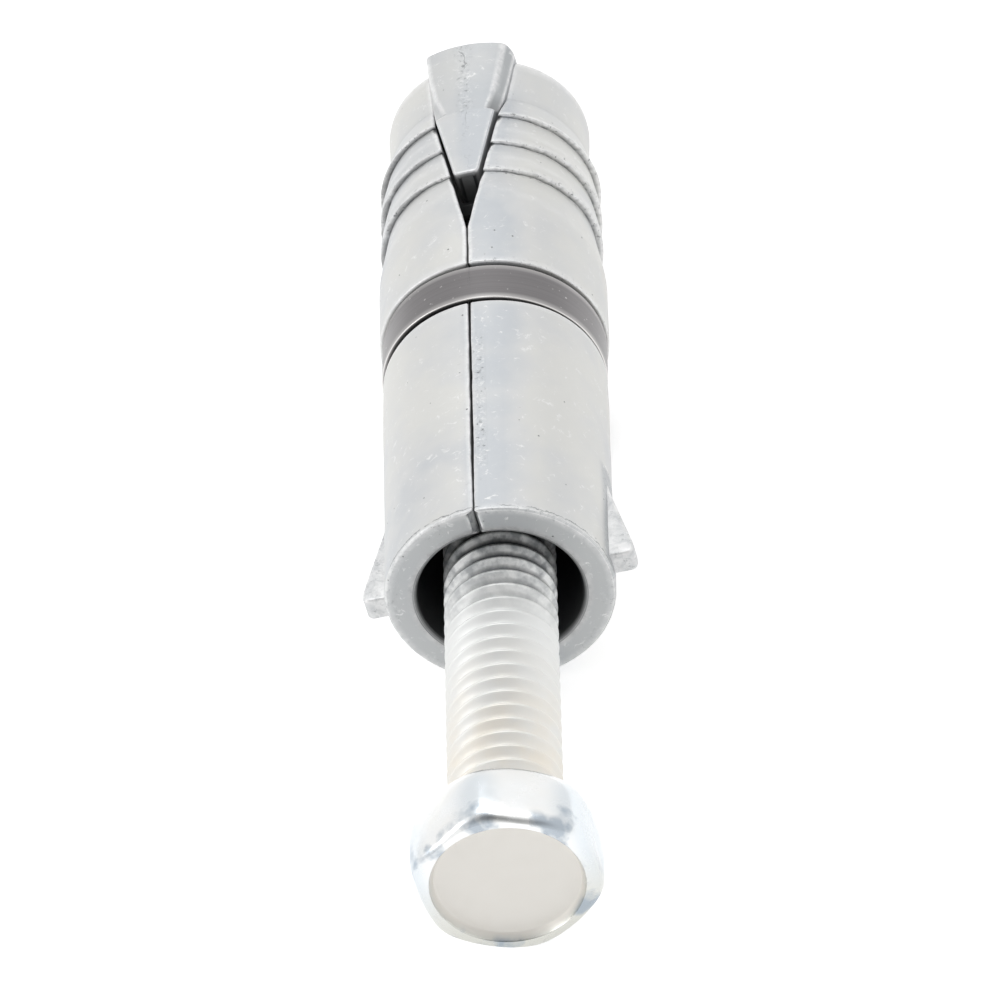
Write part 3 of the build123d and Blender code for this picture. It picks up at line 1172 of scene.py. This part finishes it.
@dataclass
class SpringBand:
    """Open band of spring steel strip that holds the halves together."""

    inner_radius: float = 8.7
    thickness: float = 0.8
    start: float = 26.65
    width: float = 4.15
    edge_ease: float = 0.09
    opening: float = 3.0
    opening_turn: float = 150.0
    askew: float = -0.9
    steps: int = 128

    def build(self, finish: Finish) -> bpy.types.Object:
        """Turn the strip's section from one side of its opening to the other.

        Args:
            finish: Finish of the strip.

        Returns:
            The finished piece.
        """
        inner = self.inner_radius
        outer = inner + self.thickness
        end = self.start + self.width
        ease = self.edge_ease
        corners = [
            (inner, (self.start + end) / 2, 0),
            (inner, self.start, ease),
            (outer, self.start, ease),
            (outer, end, ease),
            (inner, end, ease),
            (inner, (self.start + end) / 2, 0),
        ]
        half_opening = self.opening / 2 / outer
        bm = turned(
            divided(rounded(corners), 0.6)[:-1],
            self.steps,
            angle=math.tau - 2 * half_opening,
            start=math.radians(self.opening_turn) + half_opening,
            closed=True,
        )
        close_holes(bm)

        # the band sits a little askew in its groove, back on the left
        skew = Matrix.Rotation(math.radians(self.askew), 3, "Z")
        middle = AXIS * (self.start + end) / 2
        bmesh.ops.rotate(bm, cent=middle, matrix=skew, verts=bm.verts)
        piece = finished(bm, "spring_band_strip", finish)
        seat(piece, Body.BAND, Slot.SPRING, "spring_band")
        return piece


@dataclass
class Thread:
    """Coarse right-hand bolt thread, rolled, with rounded crests and roots."""

    major_radius: float = 4.65
    pitch: float = 1.5875
    depth_share: float = 0.46
    crest_start: float = 0.56
    crest_end: float = 0.69
    crest_crown: float = 0.05
    flank_power: float = 1.8
    shares: tuple[float, ...] = (
        0, 0.1, 0.2, 0.29, 0.37, 0.44, 0.5, 0.56, 0.59, 0.625, 0.66, 0.69, 0.74, 0.8, 0.87, 0.94, 1
    )
    steps: int = 60

    def height(self, share: float) -> float:
        """Height of the thread above its root: a worn crest, hollow towards the head and steep behind.

        Args:
            share: Place along one pitch, from root to root.

        Returns:
            Height from 0 to 1.
        """
        edge = 1 - self.crest_crown
        if share < self.crest_start:
            return edge * (share / self.crest_start) ** self.flank_power
        if share > self.crest_end:
            fall = (share - self.crest_end) / (1 - self.crest_end)
            return edge * (0.5 + 0.5 * math.cos(math.pi * fall))
        across = 2 * (share - self.crest_start) / (self.crest_end - self.crest_start) - 1
        return 1 - self.crest_crown * across**2

    def turned(self, start: float, end: float) -> bmesh.types.BMesh:
        """Turn one pitch of the thread along the bolt and trim it square.

        Args:
            start: Where the thread starts, along the axis.
            end: Where it ends.

        Returns:
            The threaded surface, open at both ends.
        """
        depth = self.pitch * self.depth_share
        root = self.major_radius - depth
        turns = math.ceil((end - start) / self.pitch) + 2
        first = math.floor(start / self.pitch - 1) * self.pitch
        outline = [(root + depth * self.height(share), first + self.pitch * share) for share in self.shares]
        bm = turned(outline, self.steps, rise=self.pitch / self.steps)
        one_turn = [*bm.verts, *bm.edges, *bm.faces]
        for turn in range(1, turns):
            copied = bmesh.ops.duplicate(bm, geom=one_turn)
            verts = [part for part in copied["geom"] if isinstance(part, bmesh.types.BMVert)]
            bmesh.ops.translate(bm, vec=AXIS * self.pitch * turn, verts=verts)
        bmesh.ops.remove_doubles(bm, verts=bm.verts, dist=SAME_PLACE)
        for station, out in ((start, -AXIS), (end, AXIS)):
            bmesh.ops.bisect_plane(
                bm,
                geom=[*bm.verts, *bm.edges, *bm.faces],
                dist=0.1 * SAME_PLACE,
                plane_co=AXIS * station,
                plane_no=out,
                clear_outer=True,
            )
        return bm


@dataclass
class HexBolt:
    """Cold-headed hex bolt, threaded to its head.

    The marks on its head fade between two distances in millimetres.
    """

    thread: Thread = field(default_factory=Thread)
    underside: float = -27.7
    length: float = 82.55
    tip_chamfer: float = 1.1
    head_height: float = 6.2
    head_flats: float = 14.6
    head_corner: float = 8.5
    head_turn: float = 35.5
    softness: float = 13.0
    crown_drop: float = 2.4
    disc_radius: float = 6.5
    disc_depth: float = 0.75
    lip_width: float = 0.3
    seat_radius: float = 6.7
    rooted: float = 1.0
    dents: tuple[float, float] = (3.0, 0.06)
    corner_band: tuple[float, float] = (7.3, 7.75)
    corner_reflection_share: float = 0.55
    side_reflection_share: float = 0.6
    arc_points: int = 12
    steps: int = 144

    def shank(self) -> bmesh.types.BMesh:
        """Threaded shank, which starts inside the head and has a chamfer at its tip.

        Returns:
            The closed shank.
        """
        tip = self.underside + self.length
        bm = self.thread.turned(self.underside - self.rooted, tip)
        for vert in bm.verts:
            radius = vert.co.xz.length
            limit = self.thread.major_radius - max(0.0, self.tip_chamfer - (tip - vert.co.y))
            if radius > limit:
                vert.co.x *= limit / radius
                vert.co.z *= limit / radius
        close_holes(bm)
        return bm

    def head(self) -> bmesh.types.BMesh:
        """Turn the head's full round outline, then press it into a soft hexagon.

        Returns:
            The closed head.
        """
        face = self.underside - self.head_height
        bulge = face + self.crown_drop
        seat_drop = self.head_height - self.crown_drop
        floor_radius = self.disc_radius - self.lip_width - self.disc_depth / 2
        disc_edge = self.disc_radius - 0.05
        outline = [(SAME_PLACE, self.underside)]
        for point in range(self.arc_points + 1):
            turn = math.pi / 2 * point / self.arc_points
            reach = self.seat_radius + (self.head_corner - self.seat_radius) * math.sin(turn)
            outline.append((reach, bulge + seat_drop * math.cos(turn)))
        for point in range(1, self.arc_points + 1):
            turn = math.pi / 2 * point / self.arc_points
            reach = self.disc_radius + (self.head_corner - self.disc_radius) * math.cos(turn)
            outline.append((reach, bulge - self.crown_drop * math.sin(turn)))
        recess = [
            (self.disc_radius, face, 0),
            (self.disc_radius - self.lip_width, face, 0.12),
            (floor_radius, face + self.disc_depth, 0.15),
            (SAME_PLACE, face + self.disc_depth, 0),
        ]
        outline += rounded(recess, 4)[1:]
        bm = turned(divided(outline, 0.4), self.steps)
        for vert in bm.verts:
            radius = vert.co.xz.length
            if radius < disc_edge:
                continue

            # a soft hexagon: how far each flat lets the place reach, blended with its own radius
            angle = math.atan2(vert.co.z, vert.co.x) - math.radians(self.head_turn + 30)
            reaches = [2 * math.cos(angle + side * math.radians(60)) / self.head_flats for side in range(6)]
            sharpness = sum(max(0.0, reach) ** self.softness for reach in (1 / radius, *reaches))
            limit = sharpness ** (-1 / self.softness) + uneven(vert.co, *self.dents)
            pressed = radius + (limit - radius) * smooth(radius, disc_edge, self.disc_radius + 0.6)
            vert.co.x *= pressed / radius
            vert.co.z *= pressed / radius
        bmesh.ops.remove_doubles(bm, verts=bm.verts, dist=0.005)
        return bm

    def marks(self, point: Vector) -> tuple[float, float, float, float]:
        """Mark the head's matt sunk face and its painted reflection and shade: streaks on its crown, a
        greyer lower rim and bluish corners and sides.

        Args:
            point: Place on the head, in millimetres.

        Returns:
            How far it is in the sunk face, and how much painted reflection streaking, rim shade and corner
            and side reflection it takes.
        """
        back = point.y - self.underside + self.head_height
        radius = point.xz.length
        # the crown, near the face and at the corners, takes painted reflection streaks
        corner = smooth(radius, *self.corner_band)
        crown = max(1 - smooth(back, 0.6, 1.5), corner * (1 - smooth(back, 1.5, 3.6)))
        sunk = 0.0
        if back < self.disc_depth + 0.1:
            past_wall = smooth(radius, self.disc_radius - 0.45, self.disc_radius - 0.2)
            sunk = smooth(back, 0.2, 0.5) * (1 - past_wall)
        # painted shade, darker towards the bottom of the rim, and painted reflection on the corners and
        # sides
        rim = (1 - smooth(back, 0.6, 2.6)) * smooth(-point.z, -3.5, 5.0)
        painted_reflection = max(self.corner_reflection_share * corner, self.side_reflection_share * smooth(abs(point.x), 5.0, 7.0))
        return sunk, crown, rim, painted_reflection

    def build(self) -> None:
        """Build head and shank and finish them."""
        bright = PlatedSteel()
        satin = PlatedSteel(
            name="satin_zinc_plating",
            plate="#F6F7F6",
            tint="#FBF5EA",
            low_gloss=0.42,
            high_gloss=0.52,
            metal=0.45,
            warm_from=-8.0,
            warm_to=-24.0,
            darkened_from=-6.5,
            darkened_to=0.0,
        )
        head = finished(self.head(), "hex_bolt_head", bright, self.marks)
        shank = finished(self.shank(), "hex_bolt_shank", satin)
        seat(head, Body.BOLT, Slot.PLATING, "hex_bolt")
        seat(shank, Body.BOLT, Slot.PLATING, "hex_bolt")


@dataclass
class WedgeNut:
    """Die-cast wedge with a threaded hole and two tapered fins.

    The skin below lit_height lies in the shade, which reaches lit_drop deeper past the shoulder.
    """

    thread: Thread = field(default_factory=Thread)
    halves: dict[Side, ShellHalf] = field(default_factory=lambda: {side: ShellHalf(side) for side in Side})
    thread_play: float = 0.05
    end: float = 60.4
    length: float = 17.9
    front_radius: float = 6.25
    back_radius: float = 6.5
    front_chamfer: float = 0.6
    entry_chamfer: float = 0.6
    fin_length: float = 17.0
    fin_radius: float = 9.55
    fin_end_radius: float = 9.9
    fin_nose: float = 0.45
    nose_ease: float = 0.2
    shoulder_at: float = 51.55
    shoulder_run: float = 0.35
    edge_ease: float = 0.14
    left_gaps: tuple[Reading, ...] = ((45.0, 0.36), (51.6, 0.28), (52.2, 0.18), (54.0, 0.1), (56.5, 0.02))
    right_gaps: tuple[Reading, ...] = ((51.6, 0.42), (52.2, 0.21), (54.0, 0.1), (56.5, 0.02))
    left_tops: tuple[Reading, ...] = ((52.0, 1.85), (54.5, 2.65), (57.0, 3.1), (60.4, 3.4))
    right_tops: tuple[Reading, ...] = ((52.0, 1.9), (54.0, 2.45), (57.0, 3.05), (60.4, 3.55))
    flank_root: float = 8.7
    corner_round: float = 0.5
    fin_floor: float = 5.6
    top_share: float = 0.7
    lit_height: float = 9.3
    lit_drop: float = 1.4
    rounding: float = 9.5
    columns: int = 30

    def core(self) -> bmesh.types.BMesh:
        """Tapered core with its hole.

        Returns:
            The closed ring.
        """
        start = self.end - self.length
        hole = self.thread.major_radius + self.thread_play
        corners = [
            (hole, start + self.entry_chamfer, 0),
            (hole + self.entry_chamfer, start, 0.05),
            (self.front_radius - self.front_chamfer, start, 0.05),
            (self.front_radius, start + self.front_chamfer, 0.2),
            (self.back_radius, self.end, 0.15),
            (hole + self.entry_chamfer, self.end, 0.05),
            (hole, self.end - self.entry_chamfer, 0),
        ]
        return turned(rounded(corners, 3), 96, closed=True)

    def stations(self) -> list[float]:
        """Rows along a fin: close at its nose, at its shoulder and at its end.

        Returns:
            Their distances along the axis.
        """
        start = self.end - self.fin_length
        turns = [math.radians(turn) for turn in range(0, 91, 15)]
        nose = [start + self.fin_nose * (1 - math.cos(turn)) for turn in turns]
        shoulder = [self.shoulder_at + self.shoulder_run * step / 5 for step in range(-1, 7)]
        last = [self.end - self.corner_round * (1 - math.sin(turn)) for turn in turns]
        fixed = [*nose, *shoulder, *last]
        rows = [fixed[0]]
        for station in fixed[1:]:
            pieces = max(1, math.ceil((station - rows[-1]) / 0.5))
            before = rows[-1]
            rows += [before + (station - before) * step / pieces for step in range(1, pieces + 1)]
        return rows

    def section(self, station: float, side: Side) -> tuple[float, float, float, float]:
        """Half the section of a fin at a distance along the axis.

        Args:
            station: Distance along the axis.
            side: Which half.

        Returns:
            Half width of the outer face and of the root of its flanks, radius of the face and how far
            the flanks drop.
        """
        shell = self.halves[side]
        shouldered = smooth(station, self.shoulder_at, self.shoulder_at + self.shoulder_run)
        tops = self.right_tops if side is Side.RIGHT else self.left_tops
        gaps = self.right_gaps if side is Side.RIGHT else self.left_gaps
        root = shell.half_gap(station) - between(gaps, station)
        depth = max(0.0, self.fin_nose - station + self.end - self.fin_length)
        root -= self.fin_nose - math.sqrt(max(0.0, self.fin_nose**2 - depth**2))
        top = root - self.edge_ease
        top += (between(tops, station) - top) * shouldered
        rise = max(0.0, station - shell.slot_bend) / (self.end - shell.slot_bend)
        radius = self.fin_radius + (self.fin_end_radius - self.fin_radius) * rise
        drop = self.edge_ease + (radius - self.flank_root - self.edge_ease) * shouldered
        return max(0.02, top), max(0.04, root), radius, drop

    def add_fin(self, bm: bmesh.types.BMesh, way: int) -> None:
        """Add one fin to the core.

        Args:
            bm: The core, which the fin's root stands in.
            way: 1 for the fin on top and -1 for the one underneath.
        """
        stations = self.stations()
        rows = len(stations) - 1
        grid = bmesh.ops.create_grid(bm, x_segments=self.columns, y_segments=rows, size=1.0)
        verts = grid["verts"]
        for vert in verts:
            across = abs(vert.co.x)
            station = stations[round((vert.co.y + 1) / 2 * rows)]
            side = Side.RIGHT if vert.co.x > 0 else Side.LEFT
            top, root, radius, drop = self.section(station, side)
            down = max(0.0, across - self.top_share) / (1 - self.top_share)
            x = top * min(1.0, across / self.top_share) + (root - top) * down
            z = math.sqrt(radius**2 - min(x, top) ** 2) - drop * down
            depth = max(0.0, self.nose_ease - station + stations[0])
            z -= self.nose_ease - math.sqrt(max(0.0, self.nose_ease**2 - depth**2))
            past_end = max(0.0, self.corner_round - self.end + station)
            past_side = max(0.0, self.corner_round - root + x)
            past = math.hypot(past_end, past_side) / self.corner_round
            if past > 1 and past_end and past_side:
                pull = (past - 1) / past
                x -= past_side * pull
                station -= past_end * pull
            vert.co = Vector((math.copysign(x, vert.co.x), station, z * way))
        rim = [edge for edge in bm.edges if edge.is_boundary and edge.verts[0] in set(verts)]
        for drop in (0.3, None):
            grown = bmesh.ops.extrude_edge_only(bm, edges=rim)["geom"]
            rim = [part for part in grown if isinstance(part, bmesh.types.BMEdge) and part.is_boundary]
            for part in grown:
                if isinstance(part, bmesh.types.BMVert):
                    part.co.z = way * (abs(part.co.z) - drop if drop else self.fin_floor)
        close_holes(bm)

    def marks(self, point: Vector) -> tuple[float, float, float, float]:
        """Mark the core's painted shade, the parting line down each fin, painted shade on its right flank
        and a painted highlight along its top edges.

        Args:
            point: Place on the nut, in millimetres.

        Returns:
            How deep inside it lies, which sets its painted shade, how rough its skin is, how much darker it
            is painted and how much painted highlight it takes.
        """
        shouldered = smooth(point.y, self.shoulder_at, self.shoulder_at + self.shoulder_run)
        depth = self.lit_height - self.lit_drop * shouldered - abs(point.z)
        depth -= point.x**2 / (2 * self.rounding)
        inside = smooth(depth, 0.1, 0.35) * smooth(self.end - point.y, 0.3, 2.0)
        rough = (1 - smooth(abs(point.x), 0.35, 0.9)) * (0.15 + 0.55 * smooth(point.y, 50.0, 52.0))
        # the right flank takes painted shade, the top edges a painted highlight, and the fins past their
        # shoulder are painted darker
        flank = shouldered * smooth(point.x - between(self.right_tops, point.y), 0.0, 0.15)
        inside = max(inside, flank * (0.06 + 0.35 * (1 - smooth(point.y, 51.9, 54.0))))
        edge = abs(abs(point.x) - between(self.left_tops, point.y)) if shouldered > 0.5 else 1.0
        return inside, rough, max(flank, 0.4 * shouldered), 0.8 * (1 - smooth(edge, 0.05, 0.25))

    def build(self, finish: Finish) -> bpy.types.Object:
        """Build the core and both fins and finish them.

        Args:
            finish: Finish of the casting.

        Returns:
            The finished piece.
        """
        bm = self.core()
        self.add_fin(bm, 1)
        self.add_fin(bm, -1)
        piece = finished(bm, "wedge_nut_casting", finish, self.marks)
        seat(piece, Body.NUT, Slot.CASTING, "wedge_nut")
        return piece


# The studio


@dataclass(frozen=True)
class Lamp:
    """One soft square lamp that points at the anchor, its size in metres and its power in watts."""

    name: str
    place: tuple[float, float, float]
    size: float
    power: float

    def hang(self) -> None:
        """Hang the lamp at its place."""
        data = bpy.data.lights.new(self.name, "AREA")
        data.size = self.size
        data.energy = self.power
        lamp = bpy.data.objects.new(self.name, data)
        lamp.location = self.place
        lamp.rotation_euler = (-Vector(self.place)).to_track_quat("-Z", "Y").to_euler()
        bpy.context.scene.collection.objects.link(lamp)


@dataclass
class Studio:
    """Camera, floor, backdrop light and lamps.

    The camera's places are in millimetres. The world is dim round dim_way, as behind a camera, so
    that shiny faces have something darker to mirror.
    """

    camera_at: tuple[float, float, float] = (92.3, -471.9, 415.8)
    aim_at: tuple[float, float, float] = (-0.1, 13.0, -1.1)
    roll: float = -17.87
    lens: float = 280.8
    sensor: float = 36.0
    floor_size: float = 4.0
    world_level: float = 0.5
    dim_way: tuple[float, float, float] = (0.12, -0.62, 0.775)
    dim_edge: float = 0.72
    dim_level: float = 0.2
    lamps: tuple[Lamp, ...] = (
        Lamp("top_softbox", (0.1, 0.25, 0.9), 0.7, 2.4),
        Lamp("side_softbox", (-0.8, -0.2, 0.5), 0.5, 1.3),
    )

    def camera(self) -> bpy.types.Object:
        """Set the camera up at the photograph's angle.

        Returns:
            The camera.
        """
        data = bpy.data.cameras.new("camera")
        data.lens = self.lens
        data.sensor_width = self.sensor
        data.clip_start = 0.01
        data.clip_end = 50
        camera = bpy.data.objects.new("camera", data)
        place = Vector(self.camera_at)
        look = (Vector(self.aim_at) - place).to_track_quat("-Z", "Y").to_matrix()
        turn = look @ Matrix.Rotation(math.radians(self.roll), 3, "Z")
        camera.matrix_world = Matrix.Translation(place * MM) @ turn.to_4x4()
        bpy.context.scene.collection.objects.link(camera)
        bpy.context.scene.camera = camera
        return camera

    def floor(self, height: float) -> None:
        """Lay the pale floor that keeps the anchor's shadow.

        Args:
            height: Height of the floor, in metres.
        """
        bm = bmesh.new()
        level = Matrix.Translation((0, 0, height))
        bmesh.ops.create_grid(bm, x_segments=1, y_segments=1, size=self.floor_size, matrix=level)
        mesh = bpy.data.meshes.new("floor")
        bm.to_mesh(mesh)
        bm.free()
        floor = bpy.data.objects.new("floor", mesh)
        bpy.context.scene.collection.objects.link(floor)
        mesh.materials.append(WhitePaper().material())
        floor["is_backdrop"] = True

    def world(self) -> None:
        """Light the room evenly and show it white."""
        world = bpy.data.worlds.new("room")
        world.use_nodes = True
        bpy.context.scene.world = world
        world.node_tree.nodes.clear()
        add = partial(add_node, world.node_tree)
        way = add("TexCoord").outputs["Object"]
        front = add("VectorMath", way, self.dim_way, operation="DOT_PRODUCT")
        dim = add("MapRange", front, self.dim_edge, 1.0, 1.0, self.dim_level)
        shown = add("Math", add("LightPath").outputs["Is Camera Ray"], dim, operation="MAXIMUM")
        even = (self.world_level, self.world_level, self.world_level, 1)
        level = add("Mix", white_to_view(add), even, shown, data_type="RGBA")
        add("OutputWorld", add("Background", level, 1.0))

    def build(self, floor_height: float) -> None:
        """Set up everything but the camera.

        Args:
            floor_height: Height of the floor, in metres.
        """
        self.floor(floor_height)
        self.world()
        for lamp in self.lamps:
            lamp.hang()
        bpy.context.scene.view_settings.view_transform = "Standard"


def main() -> None:
    """Build the anchor and its studio in order."""
    logging.basicConfig(level=logging.INFO, format="%(name)s: %(message)s")
    studio = Studio()
    studio.camera()
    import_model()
    cad_box = [[float(x) for x in corner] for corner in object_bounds()]
    casting = CastZinc()
    for side in Side:
        ShellHalf(side).build(casting)
    SpringBand().build(SpringSteel())
    HexBolt().build()
    WedgeNut().build(casting)
    studio.build(cad_box[0][2])


if __name__ == "__main__":
    main()
